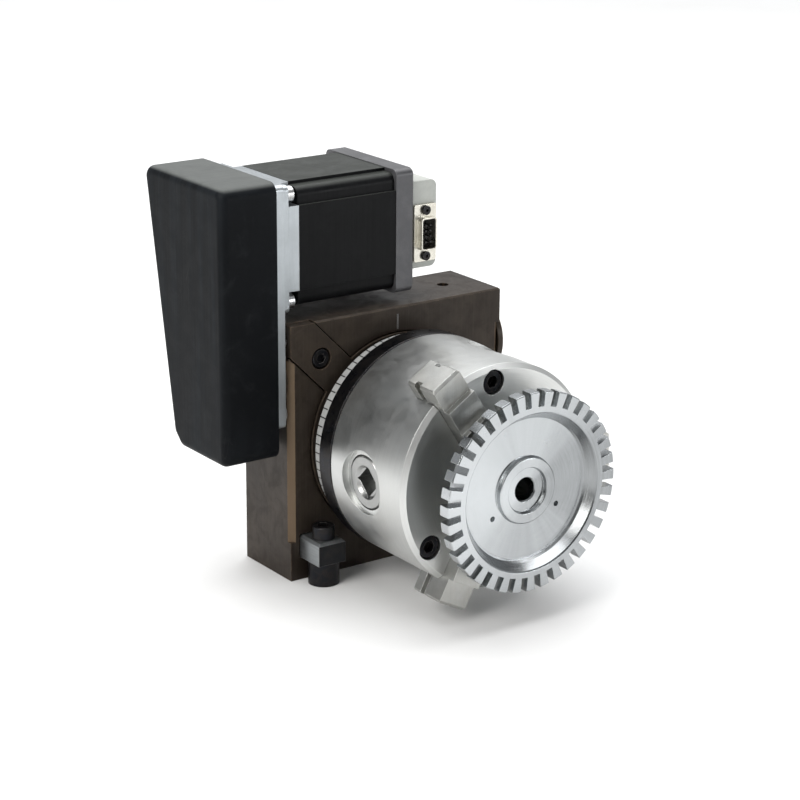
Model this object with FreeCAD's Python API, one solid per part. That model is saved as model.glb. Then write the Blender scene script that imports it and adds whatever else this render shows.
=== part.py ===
import FreeCAD, Part
import math, os

os.makedirs("parts", exist_ok=True)
V = FreeCAD.Vector
PI = math.pi

# Frame: X across, Y from the chuck (front, -Y) to the tail (+Y), Z up. Origin: middle of the housing foot.
# The spindle axis runs along Y at height H. All lengths in mm.

# ---- housing
H = 60.0                 # height of the spindle axis over the foot
HW = 57.0                # half width
HD = 19.0                # half depth
HT = 118.0               # height
CHAMBER_R = 44.0         # bore of the wheel chamber
CHAMBER_BACK = 9.0
REAR_BORE_R = 26.0
CHAMFER = 2.6            # stopped chamfer on the two front upright edges

# ---- worm drive
MOD = 1.25               # module
WHEEL_T = 40             # teeth of the worm wheel, single-start worm: 40 : 1
WHEEL_R = MOD * WHEEL_T / 2
WORM_R = 6.5             # pitch radius of the worm
WORM_Z = H + WHEEL_R + WORM_R
TUNNEL_R = 9.5           # between the bearings
SEAT_R = 12.0            # bearing seats at both ends of the tunnel

# ---- belt drive
BELT_PITCH = 3.0
PULLEY_T = 30            # pulley on the worm
MOTOR_T = 15             # pulley on the motor: 2 : 1
BELT_T = 63
MOTOR_Y = 13.2
rp1 = PULLEY_T * BELT_PITCH / (2 * PI)
rp2 = MOTOR_T * BELT_PITCH / (2 * PI)
CENTRES = 60.0
for _ in range(50):      # centre distance from the belt length
    f = 2 * CENTRES + PI * (rp1 + rp2) + (rp1 - rp2) ** 2 / CENTRES - BELT_T * BELT_PITCH
    CENTRES -= f / 2
MOTOR_Z = WORM_Z + math.sqrt(CENTRES ** 2 - MOTOR_Y ** 2)
TIP_DROP = 0.38          # pulley tip under the pitch line
PLATE_X0, PLATE_X1 = -63.0, -59.0
PLATE_Y0, PLATE_Y1, PLATE_Y2 = -19.0, 43.8, 25.2    # front edge, rear edge beside the motor, rear edge at the foot
PLATE_Z0, PLATE_Z1 = 72.0, 180.0
COVER_X0 = -90.5
COVER_WALL = 2.5

# ---- motor
MOTOR_A = 56.4           # square
MOTOR_X0 = -59.0
BELL_L, STATOR_L, REAR_L = 10.5, 50.5, 9.5

# ---- spindle nose and chuck
RING_R = 46.5            # scale ring
RING_Y0, RING_Y1 = -31.0, -22.5
ADAPT_Y0 = -40.0         # black flange ring from here to RING_Y0
CHUCK_R = 50.0
FACE_Y = -94.0           # front face of the chuck
BORE_R = 10.5            # through bore of the spindle
CHUCK_BORE_R = 11.0
CAVITY_R, HUB_R = 37.5, 18.0
SCROLL_TOP = -79.3
SLOT_FLOOR = -79.5
PINION_Y = -63.3
SCROLL_T, PINION_T = 45, 12
SPIRAL_P = 6.0
CLOCK = 2.5              # jaws and pinions stand this much further round than the upright
JAW_ANGLES = (120.0 + CLOCK, 240.0 + CLOCK, CLOCK)
PINION_ANGLES = (180.0 + CLOCK, 60.0 + CLOCK, 300.0 + CLOCK)
PINION_FACE = 47.3       # outer end of a pinion, from the spindle axis
PINION_SEAT = 46.9       # floor of the counterbore round it
SCREW_ANGLES = (94.5, 214.5, 334.5)
SCREW_R = 43.0
JAW_IN = 14.02
JAW_OUT = 58.5
JAW_W = 7.5              # half width
DISC_R = 44.0
DISC_SLOTS = 36
DISC_BORE_R = 5.0
DISC_Y0, DISC_Y1 = -118.0, -112.0   # toothed rim
WEB_Y0, WEB_Y1 = -112.5, -107.8      # web, set back behind the rim


# ---- helpers
def box(x0, x1, y0, y1, z0, z1):
    return Part.makeBox(x1 - x0, y1 - y0, z1 - z0, V(x0, y0, z0))


def ycyl(x, z, r, y0, y1):
    return Part.makeCylinder(r, y1 - y0, V(x, y0, z), V(0, 1, 0))


def xcyl(y, z, r, x0, x1):
    return Part.makeCylinder(r, x1 - x0, V(x0, y, z), V(1, 0, 0))


def zcyl(x, y, r, z0, z1):
    return Part.makeCylinder(r, z1 - z0, V(x, y, z0), V(0, 0, 1))


def prism(points, vec):
    w = Part.makePolygon([V(*p) for p in points] + [V(*points[0])])
    return Part.Face(w).extrude(V(*vec))


def yrev(profile, x=0.0, z=None):
    # profile of (radius, y) turned about the spindle axis
    z = H if z is None else z
    w = Part.makePolygon([V(x + r, y, z) for r, y in profile] + [V(x + profile[0][0], profile[0][1], z)])
    return Part.Face(w).revolve(V(x, 0, z), V(0, 1, 0), 360)


def xrev(profile, y, z):
    # profile of (x, radius) turned about an axis along X
    w = Part.makePolygon([V(a, y, z + r) for a, r in profile] + [V(profile[0][0], y, z + profile[0][1])])
    return Part.Face(w).revolve(V(0, y, z), V(1, 0, 0), 360)


def spin(shape, deg):
    # counterclockwise about the spindle axis, seen from the front
    s = shape.copy()
    s.rotate(V(0, 0, H), V(0, -1, 0), deg)
    return s


def polar(r, deg):
    a = math.radians(deg)
    return r * math.cos(a), H + r * math.sin(a)


def cut(a, *bs):
    return a.cut(bs) if len(bs) > 1 else a.cut(bs[0])


def fuse(a, *bs):
    return a.fuse(list(bs)).removeSplitter()


def frame_of(d):
    d = V(*d)
    d.normalize()
    other = V(0, 0, 1) if abs(d.z) < 0.9 else V(1, 0, 0)
    u = d.cross(other)
    u.normalize()
    v = d.cross(u)
    return d, u, v


def hexagon(p, d, af, depth):
    # hexagonal prism from p against d
    d, u, v = frame_of(d)
    r = af / math.sqrt(3)
    pts = []
    for i in range(6):
        a = PI / 3 * i
        pts.append(V(*p) + u * (r * math.cos(a)) + v * (r * math.sin(a)))
    return Part.Face(Part.makePolygon(pts + [pts[0]])).extrude(d * (-depth))


def cap_screw(p, d, r, length, head_r, head_h, af):
    # socket cap screw: p under the head, d points out of the head
    dv = V(*d)
    dv.normalize()
    head = Part.makeCylinder(head_r, head_h, V(*p), dv)
    rim = [e for e in head.Edges if abs((e.CenterOfMass - V(*p)).dot(dv) - head_h) < 1e-6 and e.Length > 6 * head_r * 0.9]
    try:
        head = head.makeChamfer(min(0.4, head_r * 0.1), rim)
    except Exception:
        pass
    shank = Part.makeCylinder(r, length, V(*p) - dv * length, dv)
    s = head.fuse(shank).removeSplitter()
    top = V(*p) + dv * (head_h + 0.01)
    return s.cut(hexagon((top.x, top.y, top.z), (dv.x, dv.y, dv.z), af, head_h * 0.6))


def group(shapes):
    return Part.makeCompound([s for s in shapes])


def save(name, shape):
    solids = shape.Solids
    shape = solids[0] if len(solids) == 1 else Part.makeCompound(solids)
    if not shape.isValid():
        print("INVALID", name)
    print("%-28s solids %2d  vol %9.0f" % (name, len(solids), sum(s.Volume for s in solids)))
    shape.exportStep("parts/%s.step" % name)
    return shape


def bearing(axis, cx, cz, y0, y1, ro, ri, rb, nballs):
    # deep-groove bearing about Y (axis 'y', centre x=cx, z=cz) or about X (axis 'x', centre y=cx, z=cz)
    mid, R = (y0 + y1) / 2, (ro + ri) / 2
    gap = rb * 1.45
    d = V(0, 1, 0) if axis == "y" else V(1, 0, 0)

    def P(a):
        return V(cx, a, cz) if axis == "y" else V(a, cx, cz)

    def tube(a, b):
        return Part.makeCylinder(a, y1 - y0, P(y0), d).cut(Part.makeCylinder(b, y1 - y0, P(y0), d))

    tor = Part.makeTorus(R, rb + 0.05, P(mid), d)
    outer = tube(ro, R + gap / 2).cut(tor)
    inner = tube(R - gap / 2, ri).cut(tor)
    balls = []
    _, u, v = frame_of((d.x, d.y, d.z))
    for i in range(nballs):
        a = 2 * PI * i / nballs
        balls.append(Part.makeSphere(rb, P(mid) + u * (R * math.cos(a)) + v * (R * math.sin(a))))
    return outer, inner, balls


# ================= housing =================
body = box(-HW, HW, -HD, HD, 0, HT)
# small break on the top edges and back uprights
edges = []
for e in body.Edges:
    c = e.CenterOfMass
    if abs(c.z - HT) < 1e-6 or (abs(c.y - HD) < 1e-6 and abs(abs(c.x) - HW) < 1e-6):
        edges.append(e)
body = body.makeChamfer(0.7, edges)
# stopped chamfers on the front uprights
cutters = []
for sx in (-1, 1):
    c = CHAMFER
    cutters.append(prism([(sx * HW, -HD, 18), (sx * (HW - c), -HD, 18), (sx * HW, -HD + c, 18)], (0, 0, 84)))
    # clamp slots in the front face
    cutters.append(box(min(sx * 37.5, sx * 52.5), max(sx * 37.5, sx * 52.5), -HD - 1, -HD + 6, 10.5, 21.5))
# wheel chamber, rear bearing seat
cutters.append(ycyl(0, H, CHAMBER_R, -HD - 1, CHAMBER_BACK))
cutters.append(ycyl(0, H, REAR_BORE_R, CHAMBER_BACK - 1, HD + 1))
# inlay for the bearing flange: a broad ear into the top left corner, a narrow one to the right side and a short one below;
# (angle, ear end radius, screw radius, half width)
FL_R, INLAY = 46.0, 4.2
EARS = ((135, 90.0, 58.0, 9.2), (15, 62.0, 49.5, 6.3), (285, 55.5, 49.5, 6.3))
GAP = 0.6
cutters.append(ycyl(0, H, FL_R + GAP, -HD - 1, -HD + INLAY))
for a, r_end, r_screw, w in EARS:
    cutters.append(spin(box(20, r_end + GAP, -HD - 1, -HD + INLAY, H - w - GAP, H + w + GAP), a))
    x, z = polar(r_screw, a)
    cutters.append(ycyl(x, z, 2.5, -HD, -HD + 11.0))
# worm tunnel and cap screw holes
cutters.append(xcyl(0, WORM_Z, TUNNEL_R, -HW - 1, HW + 1))
cutters += [xcyl(0, WORM_Z, SEAT_R, -HW - 1, -44.0), xcyl(0, WORM_Z, SEAT_R, 44.0, HW + 1)]
for i in range(3):
    a = math.radians(90 + 120 * i)
    cutters.append(xcyl(14.6 * math.cos(a), WORM_Z + 14.6 * math.sin(a), 1.6, HW - 9, HW + 1))
# plate screw holes, rear cover holes, tapped hole on top
PLATE_SCREWS = ((-12.0, 77.5), (12.0, 77.5), (-12.0, 111.0), (12.0, 111.0))
for y, z in PLATE_SCREWS:
    cutters.append(xcyl(y, z, 2.5, -HW - 1, -HW + 12))
REAR_SCREWS = [polar(33.5, a) for a in (45, 135, 225, 315)]
for x, z in REAR_SCREWS:
    cutters.append(ycyl(x, z, 2.0, HD - 9, HD + 1))
cutters.append(zcyl(38.5, 0.0, 2.75, HT - 9, HT + 1))
housing = cut(body, *cutters)
save("housing", housing)

# ================= front bearing flange =================
fl = ycyl(0, H, FL_R, -19.8, -14.85)
# the ears end flush with the sides, the top and the chamfer of the housing
side_wedge = prism([(HW + 1, -HD - 2, 18), (HW - CHAMFER - 2.2, -HD - 2, 18), (HW + 1, -HD + CHAMFER + 0.8, 18)], (0, 0, 84))
ears = [spin(box(20, r_end, -19.8, -14.85, H - w, H + w), a).common(box(-HW + 0.3, HW - 0.3, -30, 0, 0.3, HT - 0.3)).cut(side_wedge)
        for a, r_end, r_screw, w in EARS]
fl = fuse(fl, *ears, ycyl(0, H, 43.9, -14.9, -10.2), ycyl(0, H, 40.0, -21.6, -19.7))
holes = [ycyl(0, H, 31.0, -25, 0), ycyl(0, H, 36.0, -19.0, 0)]
screws = []
for a, r_end, r_screw, w in EARS:
    x, z = polar(r_screw, a)
    holes += [ycyl(x, z, 2.7, -25, 0), ycyl(x, z, 5.0, -25, -16.6)]
    screws.append(cap_screw((x, -16.6, z), (0, -1, 0), 2.5, 8.2, 4.25, 2.9, 4.0))
fl = cut(fl, *holes)
save("bearing_flange", fl)
save("bearing_flange_screws", group(screws))
save("index_mark", box(-0.45, 0.45, -19.12, -19.0, 107.6, 114.6))

fo, fi, fb = bearing("y", 0, H, -19.0, -10.0, 36.0, 27.5, 2.4, 22)
save("front_bearing_outer_ring", fo)
save("front_bearing_inner_ring", fi)
save("front_bearing_balls", group(fb))
ro_, ri_, rb_ = bearing("y", 0, H, 9.5, 16.5, REAR_BORE_R, 20.0, 1.75, 20)
save("rear_bearing_outer_ring", ro_)
save("rear_bearing_inner_ring", ri_)
save("rear_bearing_balls", group(rb_))

# ================= rear cover =================
rc = yrev([(25.1, 16.6), (25.95, 16.6), (25.95, 19.0), (38.0, 19.0), (38.0, 25.0), (37.0, 26.0), (20.2, 26.0), (20.2, 24.6), (25.1, 24.6)])
rs = []
for x, z in REAR_SCREWS:
    rc = cut(rc, ycyl(x, z, 2.2, 15, 30), ycyl(x, z, 3.9, 22.4, 30))
    rs.append(cap_screw((x, 22.4, z), (0, 1, 0), 2.0, 11.5, 3.5, 3.4, 3.0))
save("rear_cover", rc)
save("rear_cover_screws", group(rs))

# ================= spindle and what turns with it =================
sp = yrev([(BORE_R, -37.0), (17.5, -37.0), (17.5, -31.0), (36.0, -31.0), (36.0, -22.5), (29.6, -22.5), (29.6, -19.0),
           (27.5, -19.0), (27.5, -10.0), (24.0, -10.0), (24.0, -6.0), (20.2, -6.0), (20.2, 9.4), (20.0, 9.4), (20.0, 16.5),
           (19.5, 16.5), (19.5, 27.0), (18.7, 27.8), (BORE_R, 27.8)])
ADAPT_SCREW_A = (30, 150, 270)
for a in ADAPT_SCREW_A:
    x, z = polar(27.0, a)
    sp = cut(sp, ycyl(x, z, 2.5, -32, -23.5))
save("spindle", sp)

nut = ycyl(0, H, 24.2, 16.5, 23.5).cut(ycyl(0, H, 19.5, 16, 24))
notches = []
for i in range(6):
    notches.append(spin(box(22.2, 28, 16, 24, H - 2.2, H + 2.2), 60 * i + 15))
save("spindle_lock_nut", cut(nut, *notches))


def gear_section(n, m, y, rot, thick, addn, dedn, bore=None):
    # closed polygon of a spur section in the plane y, tooth gap centred at the top for rot = 0
    rp_ = n * m / 2
    rb = rp_ * math.cos(math.radians(20))
    ra, rf = rp_ + addn, rp_ - dedn
    inv = lambda x: math.tan(x) - x
    half_p = thick / (2 * rp_)
    a0 = math.radians(20)

    def half(r):
        if r <= rb:
            return half_p + inv(a0)
        a = math.acos(rb / r)
        return half_p + inv(a0) - inv(a)

    pts = []
    rr = [rf, max(rb, rf + 0.05), rp_, ra]
    rr = sorted(set(round(q, 5) for q in rr))
    for i in range(n):
        c = PI / 2 + 2 * PI * (i + 0.5) / n + math.radians(rot)
        for r in rr:
            pts.append((r, c - half(r)))
        for r in reversed(rr):
            pts.append((r, c + half(r)))
    return [V(r * math.cos(a), y, H + r * math.sin(a)) for r, a in pts]


W = 5.0   # half face width of the wheel
twist = math.degrees(W * (PI * MOD) / (2 * PI * WORM_R) / WHEEL_R)
secs = []
for y, rot in ((-W, twist), (W, -twist)):
    p = gear_section(WHEEL_T, MOD, y, rot, PI * MOD / 2 - 0.28, MOD * 0.92, MOD * 1.3)
    secs.append(Part.makePolygon(p + [p[0]]))
wheel = Part.makeLoft(secs, True, True)
# hub, with a neck that reaches the rear bearing
hub = ycyl(0, H, 23.0, -6.0, 6.0).fuse(ycyl(0, H, 21.5, 5.0, 9.5))
wheel = fuse(wheel, hub).cut(ycyl(0, H, 20.2, -7, 11))
save("worm_wheel", wheel)

# scale ring with engraved graduations
ring = yrev([(36.0, RING_Y0), (RING_R, RING_Y0), (RING_R, RING_Y1 - 0.6), (RING_R - 0.6, RING_Y1), (36.0, RING_Y1)])
ticks = []
for i in range(72):
    ln = 6.2 if i % 6 == 0 else (4.6 if i % 2 == 0 else 3.4)
    ticks.append(spin(box(RING_R - 0.3, RING_R + 1, RING_Y1 - 0.4 - ln, RING_Y1 + 1, H - 0.28, H + 0.28), 90 + 5 * i))
ring = ring.cut(Part.makeCompound(ticks))
save("scale_ring", ring)

# black flange ring between spindle and chuck
ad = yrev([(17.5, ADAPT_Y0), (CHUCK_R - 0.5, ADAPT_Y0), (CHUCK_R, ADAPT_Y0 + 0.5), (CHUCK_R, RING_Y0 - 0.5), (CHUCK_R - 0.5, RING_Y0), (17.5, RING_Y0)])
ads = []
holes = []
for a in ADAPT_SCREW_A:
    x, z = polar(27.0, a)
    holes += [ycyl(x, z, 2.7, -45, -20), ycyl(x, z, 4.6, -45, -35.0)]
    ads.append(cap_screw((x, -35.0, z), (0, -1, 0), 2.5, 11.0, 4.25, 4.6, 4.0))
for a in SCREW_ANGLES:
    x, z = polar(SCREW_R, a)
    holes.append(ycyl(x, z, 3.0, -45, -20))
ad = cut(ad, *holes)
save("chuck_flange", ad)
save("chuck_flange_screws", group(ads))

# ================= chuck body =================
ch = yrev([(CHUCK_BORE_R, FACE_Y), (CHUCK_R - 2.0, FACE_Y), (CHUCK_R, FACE_Y + 2.0),
           (CHUCK_R, ADAPT_Y0 - 0.8), (CHUCK_R - 0.8, ADAPT_Y0), (46.0, ADAPT_Y0), (46.0, -48.0), (CAVITY_R, -48.0),
           (CAVITY_R, SLOT_FLOOR), (HUB_R, SLOT_FLOOR), (HUB_R, -48.0), (CHUCK_BORE_R, -48.0)])
cs = []
for a in JAW_ANGLES:
    # way with a tongue on each side for the grooves of the jaw
    way = box(5, 52, FACE_Y - 1, SLOT_FLOOR, H - JAW_W - 0.2, H + JAW_W + 0.2)
    way = cut(way, box(21, 53, -87.85, -84.55, H + 5.2, H + 9), box(21, 53, -87.85, -84.55, H - 9, H - 5.2))
    cs.append(spin(way, a))
    # way for the back teeth of the jaw
    cs.append(spin(box(HUB_R, 52, SLOT_FLOOR - 0.1, -76.5, H - 5.9, H + 5.9), a))
for a in PINION_ANGLES:
    c = math.radians(a)
    u = V(math.cos(c), 0, math.sin(c))
    cs.append(Part.makeCylinder(12.2, 30, V(0, PINION_Y, H) + u * 34, u))
    cs.append(Part.makeCylinder(14.2, 6, V(0, PINION_Y, H) + u * PINION_SEAT, u))
    cs.append(Part.makeCylinder(4.15, 10, V(0, PINION_Y, H) + u * 13, u))
for a in SCREW_ANGLES:
    x, z = polar(SCREW_R, a)
    cs.append(ycyl(x, z, 3.3, FACE_Y - 1, -38))
    cs.append(ycyl(x, z, 5.5, FACE_Y - 1, FACE_Y + 7.0))
ch = cut(ch, *cs)
save("chuck_body", ch)

bc = yrev([(CHUCK_BORE_R, -47.95), (45.95, -47.95), (45.95, ADAPT_Y0), (CHUCK_BORE_R, ADAPT_Y0)])
# thrust sleeve that keeps the scroll forward, open at the front for the pinion stems
bc = fuse(bc, ycyl(0, H, 24.0, -72.45, -47.0).cut(ycyl(0, H, HUB_R + 0.05, -73, -47.95)).cut(ycyl(0, H, CHUCK_BORE_R, -48, -46)))
bcut = [spin(box(17, 26, -73, PINION_Y + 4.6, H - 4.6, H + 4.6), a) for a in PINION_ANGLES]
for a in SCREW_ANGLES:
    x, z = polar(SCREW_R, a)
    bcut.append(ycyl(x, z, 3.3, -50, -38))
bcs = []
for a in (0, 120, 240):
    x, z = polar(41.6, a)
    bcut += [ycyl(x, z, 2.2, -50, -38), ycyl(x, z, 3.7, -44.2, -38)]
    bcs.append(cap_screw((x, -44.2, z), (0, 1, 0), 2.0, 3.7, 3.5, 3.6, 3.0))
bc = cut(bc, *bcut)
save("chuck_back_cover", bc)
save("chuck_back_cover_screws", group(bcs))

css = []
for a in SCREW_ANGLES:
    x, z = polar(SCREW_R, a)
    css.append(cap_screw((x, FACE_Y + 7.0, z), (0, -1, 0), 3.0, 53.0, 5.0, 6.0, 5.0))
save("chuck_screws", group(css))

# ================= scroll =================


def spiral_solid(r_from, r_to, width, y0, y1, shift=0.0):
    # band that follows r = r0 - p * phi / 2 pi (phi counterclockwise from the front), mid line offset by shift
    p = SPIRAL_P
    turns = (r_to - r_from) / p
    n = int(turns * 24)
    outer, inner = [], []
    for i in range(n + 1):
        rr = r_from + (r_to - r_from) * i / n
        phi = -2 * PI * (rr - r_from) / p
        for lst, off in ((outer, width / 2), (inner, -width / 2)):
            q = rr + off + shift
            lst.append(V(q * math.cos(phi), y0, H + q * math.sin(phi)))
    bo, bi = Part.BSplineCurve(), Part.BSplineCurve()
    bo.interpolate(outer)
    bi.interpolate(inner)
    w = Part.Wire([bo.toShape(), Part.makeLine(outer[-1], inner[-1]), bi.toShape(), Part.makeLine(inner[0], outer[0])])
    return Part.Face(Part.Wire(Part.__sortEdges__(w.Edges))).extrude(V(0, y1 - y0, 0))


THREAD_ROOT = -76.7
band = spiral_solid(13.0, 43.0, 2.7, SCROLL_TOP, THREAD_ROOT + 0.2)
annulus = ycyl(0, H, 37.2, SCROLL_TOP, THREAD_ROOT + 0.2).cut(ycyl(0, H, 18.4, SCROLL_TOP - 1, THREAD_ROOT + 1))
band = band.common(annulus)
kp = PINION_T / SCROLL_T          # pitch cone slope
am = 1.0 / SCROLL_T * 2           # module at unit radius
ADD_S, DED_S = 0.62 * am, 1.28 * am


def cone_y(r, k):
    return PINION_Y - kp * r + k * r


disc = yrev([(18.4, THREAD_ROOT), (37.2, THREAD_ROOT), (37.2, cone_y(37.2, ADD_S)), (28.5, cone_y(28.5, ADD_S)), (28.5, -72.6), (18.4, -72.6)])
gaps = []
for i in range(SCROLL_T):
    sec = []
    for R in (26.0, 39.0):
        pitch = 2 * PI * R / SCROLL_T
        t20 = math.tan(math.radians(20))
        half_p = pitch / 4 + 0.004 * R
        pts = []
        for k, s in ((0.075, 1), (-DED_S, 1), (-DED_S, -1), (0.075, -1)):
            hw = half_p + k * R * t20
            pts.append(V(R, cone_y(R, k), H + s * hw))
        sec.append(Part.makePolygon(pts + [pts[0]]))
    gaps.append(spin(Part.makeLoft(sec, True, True), 360.0 * (i + 0.5) / SCROLL_T + CLOCK))
disc = disc.cut(Part.makeCompound(gaps))
scroll = fuse(disc, *band.Solids)
save("scroll_plate", scroll)

# ================= pinions =================


def pinion():
    # built along +X at angle 0, tooth centred toward -Y
    k_t = PINION_T
    secs = []
    for R in (28.2, 37.0):
        m = am * R
        rp_ = k_t * m / 2
        rb = rp_ * math.cos(math.radians(20))
        ra, rf = rp_ + 0.85 * m, rp_ - 0.95 * m
        inv = lambda x: math.tan(x) - x
        a0 = math.radians(20)
        hp = (PI * m / 2 - 0.16 * m) / (2 * rp_)

        def half(r):
            if r <= rb:
                return hp + inv(a0) - 0.03 * (rb - r) / m
            return hp + inv(a0) - inv(math.acos(rb / r))
        pts = []
        for i in range(k_t):
            c = 2 * PI * i / k_t
            for r in (rf, rb, rp_, ra):
                pts.append((r, c - half(r)))
            for r in (ra, rp_, rb, rf):
                pts.append((r, c + half(r)))
        vec = [V(R, PINION_Y - r * math.cos(a), H + r * math.sin(a)) for r, a in pts]
        secs.append(Part.makePolygon(vec + [vec[0]]))
    g = Part.makeLoft(secs, True, True)
    head = Part.makeCylinder(11.7, PINION_FACE - 37.9, V(37.9, PINION_Y, H), V(1, 0, 0))
    neck = Part.makeCylinder(8.0, 1.4, V(36.8, PINION_Y, H), V(1, 0, 0))
    stem = Part.makeCylinder(4.0, 28.6 - 14.0, V(14.0, PINION_Y, H), V(1, 0, 0))
    p = g.fuse([head, neck, stem]).removeSplitter()
    rim = [e for e in p.Edges if abs(e.CenterOfMass.x - PINION_FACE) < 1e-6]
    try:
        p = p.makeChamfer(0.5, rim)
    except Exception:
        pass
    # square socket standing on its corner, with a round lead
    sq = box(PINION_FACE - 8.8, PINION_FACE + 0.5, PINION_Y - 5.0, PINION_Y + 5.0, H - 5.0, H + 5.0)
    sq.rotate(V(0, PINION_Y, H), V(1, 0, 0), 45)
    lead = Part.makeCone(6.2, 7.6, 1.2, V(PINION_FACE - 1.2, PINION_Y, H), V(1, 0, 0))
    return p.cut(sq).cut(lead)


pin0 = pinion()
for n, a in enumerate(PINION_ANGLES, 1):
    save("pinion_%d" % n, spin(pin0, a))

# ================= jaws =================
JAW_BOT = -79.7
TOOTH_W = 2.35


def jaw(angle):
    prof = [(JAW_IN, JAW_BOT), (JAW_OUT, JAW_BOT), (JAW_OUT, -97.2), (JAW_OUT - 1.2, -98.4), (47.4, -98.4), (47.4, -101.4), (35.0, -101.4),
            (35.0, -104.2), (23.0, -104.2), (23.0, -106.4), (22.6, -106.8), (JAW_IN, -106.8)]
    j = prism([(r, y, H - JAW_W) for r, y in prof], (0, 0, 2 * JAW_W))
    # grooves along both sides, and broken edges at the outer end
    j = cut(j, box(10, 70, -88.0, -84.4, H + 5.0, H + 9), box(10, 70, -88.0, -84.4, H - 9, H - 5.0),
            prism([(JAW_OUT - 1.0, -70, H + JAW_W + 0.1), (JAW_OUT + 1, -70, H + JAW_W + 0.1), (JAW_OUT + 1, -70, H + JAW_W - 1.9)], (0, -40, 0)),
            prism([(JAW_OUT - 1.0, -70, H - JAW_W - 0.1), (JAW_OUT + 1, -70, H - JAW_W - 0.1), (JAW_OUT + 1, -70, H - JAW_W + 1.9)], (0, -40, 0)))
    # pointed nose: flanks at 60 degrees from a 6 mm wide gripping land
    for s in (-1, 1):
        x0 = JAW_IN
        nose = [(x0 - 1, s * 3.0), (x0, s * 3.0), (x0 + 7.0, s * (3.0 + 7.0 / math.tan(math.radians(32)))), (x0 - 1, s * 20)]
        j = j.cut(prism([(a, -112, H + b) for a, b in nose], (0, 34, 0)))
    # back teeth: stretches of the spiral groove
    fill = spiral_solid(13.0, 67.0, TOOTH_W, JAW_BOT - 0.2, THREAD_ROOT - 0.25, shift=-SPIRAL_P / 2)
    fill = spin(fill, -angle)
    teeth = fill.common(box(19.6, 45.0, JAW_BOT - 1, THREAD_ROOT, H - 5.6, H + 5.6))
    keep = [t for t in teeth.Solids if t.BoundBox.XMax - t.BoundBox.XMin > 1.5 and t.BoundBox.ZMax - t.BoundBox.ZMin > 9.0]
    keep = [t for t in keep if t.BoundBox.XMax < 44.9]
    j = j.fuse(keep).removeSplitter()
    return spin(j, angle)


for n, a in enumerate(JAW_ANGLES, 1):
    save("jaw_%d" % n, jaw(a))

# ================= index disc =================
# dished plate: toothed rim, tapered recess, raised hub with a counterbore, rear hub that the jaws grip
dk = yrev([(DISC_BORE_R, -98.2), (13.2, -98.2), (14.0, -99.0), (14.0, WEB_Y1), (36.4, WEB_Y1), (37.2, WEB_Y1 - 0.8), (37.2, DISC_Y1), (DISC_R - 0.4, DISC_Y1),
           (DISC_R, DISC_Y1 - 0.4), (DISC_R, DISC_Y0 + 0.4), (DISC_R - 0.4, DISC_Y0), (35.2, DISC_Y0), (34.6, DISC_Y0 + 0.5), (32.2, WEB_Y0 - 1.3),
           (31.4, WEB_Y0 - 0.3), (30.4, WEB_Y0), (15.0, WEB_Y0), (14.5, WEB_Y0 - 1.7), (14.1, WEB_Y0 - 2.0), (10.4, WEB_Y0 - 2.0), (10.1, WEB_Y0 - 1.7),
           (9.7, WEB_Y0 - 0.2), (DISC_BORE_R + 0.6, WEB_Y0 - 0.2), (DISC_BORE_R, WEB_Y0 + 0.4)])
sl = [spin(box(37.6, 46, DISC_Y0 - 1, DISC_Y1 + 1, H - 1.6, H + 1.6), 360.0 * i / DISC_SLOTS + 5.0) for i in range(DISC_SLOTS)]
holes = [ycyl(*polar(19.5, a), 1.2, WEB_Y0 - 1, WEB_Y0 + 2.0) for a in (210, 330)]
dk = dk.cut(Part.makeCompound(sl)).cut(Part.makeCompound(holes))
save("index_disc", dk)

# ================= worm shaft =================
WL = 16.0
core = xrev([(-86.5, 0.01), (-86.5, 5.6), (-86.1, 6.0), (-44.0, 6.0), (-44.0, 8.0), (-WL - 2, 8.0), (-WL, 6.5 - MOD * 1.3), (WL, 6.5 - MOD * 1.3), (WL + 2, 8.0),
             (44.0, 8.0), (44.0, 6.0), (50.4, 6.0), (50.4, 0.01)], 0, WORM_Z)
core = core.fuse(xcyl(0, WORM_Z, 0.5, -86.5, 50.4)).removeSplitter()
lead = PI * MOD
hx = Part.makeHelix(lead, 9 * lead, WORM_R)
ht = MOD * 0.9
hb = MOD * 1.3 + 0.25
th = (PI * MOD / 2 - 0.24) / 2
t20 = math.tan(math.radians(20))
prof = [V(WORM_R + ht, 0, -(th - ht * t20)), V(WORM_R + ht, 0, (th - ht * t20)), V(WORM_R - hb, 0, th + hb * t20), V(WORM_R - hb, 0, -(th + hb * t20))]
pw = Part.makePolygon(prof + [prof[0]])
thread = Part.Wire(hx.Edges).makePipeShell([pw], True, True)
thread = Part.Solid(thread) if thread.ShapeType != "Solid" else thread
# helix axis Z -> X ; start of the thread goes under the axis, middle of the thread at x = 0
thread.translate(V(0, 0, -4.5 * lead))
thread.rotate(V(0, 0, 0), V(0, 1, 0), 90)      # Z -> X, X -> -Z
thread.translate(V(-0.5 * lead, 0, WORM_Z))
thread = thread.common(xcyl(0, WORM_Z, 12, -WL + 0.5, WL - 0.5))
worm = core.fuse(thread.Solids).removeSplitter()
save("worm_shaft", worm)

wo, wi, wb = [], [], []
for x0 in (-50.0, 44.0):
    o, i_, b = bearing("x", 0, WORM_Z, x0, x0 + 6.0, 12.0, 6.0, 1.7, 9)
    wo.append(o)
    wi.append(i_)
    wb += b
save("worm_bearing_outer_rings", group(wo))
save("worm_bearing_inner_rings", group(wi))
save("worm_bearing_balls", group(wb))

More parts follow.
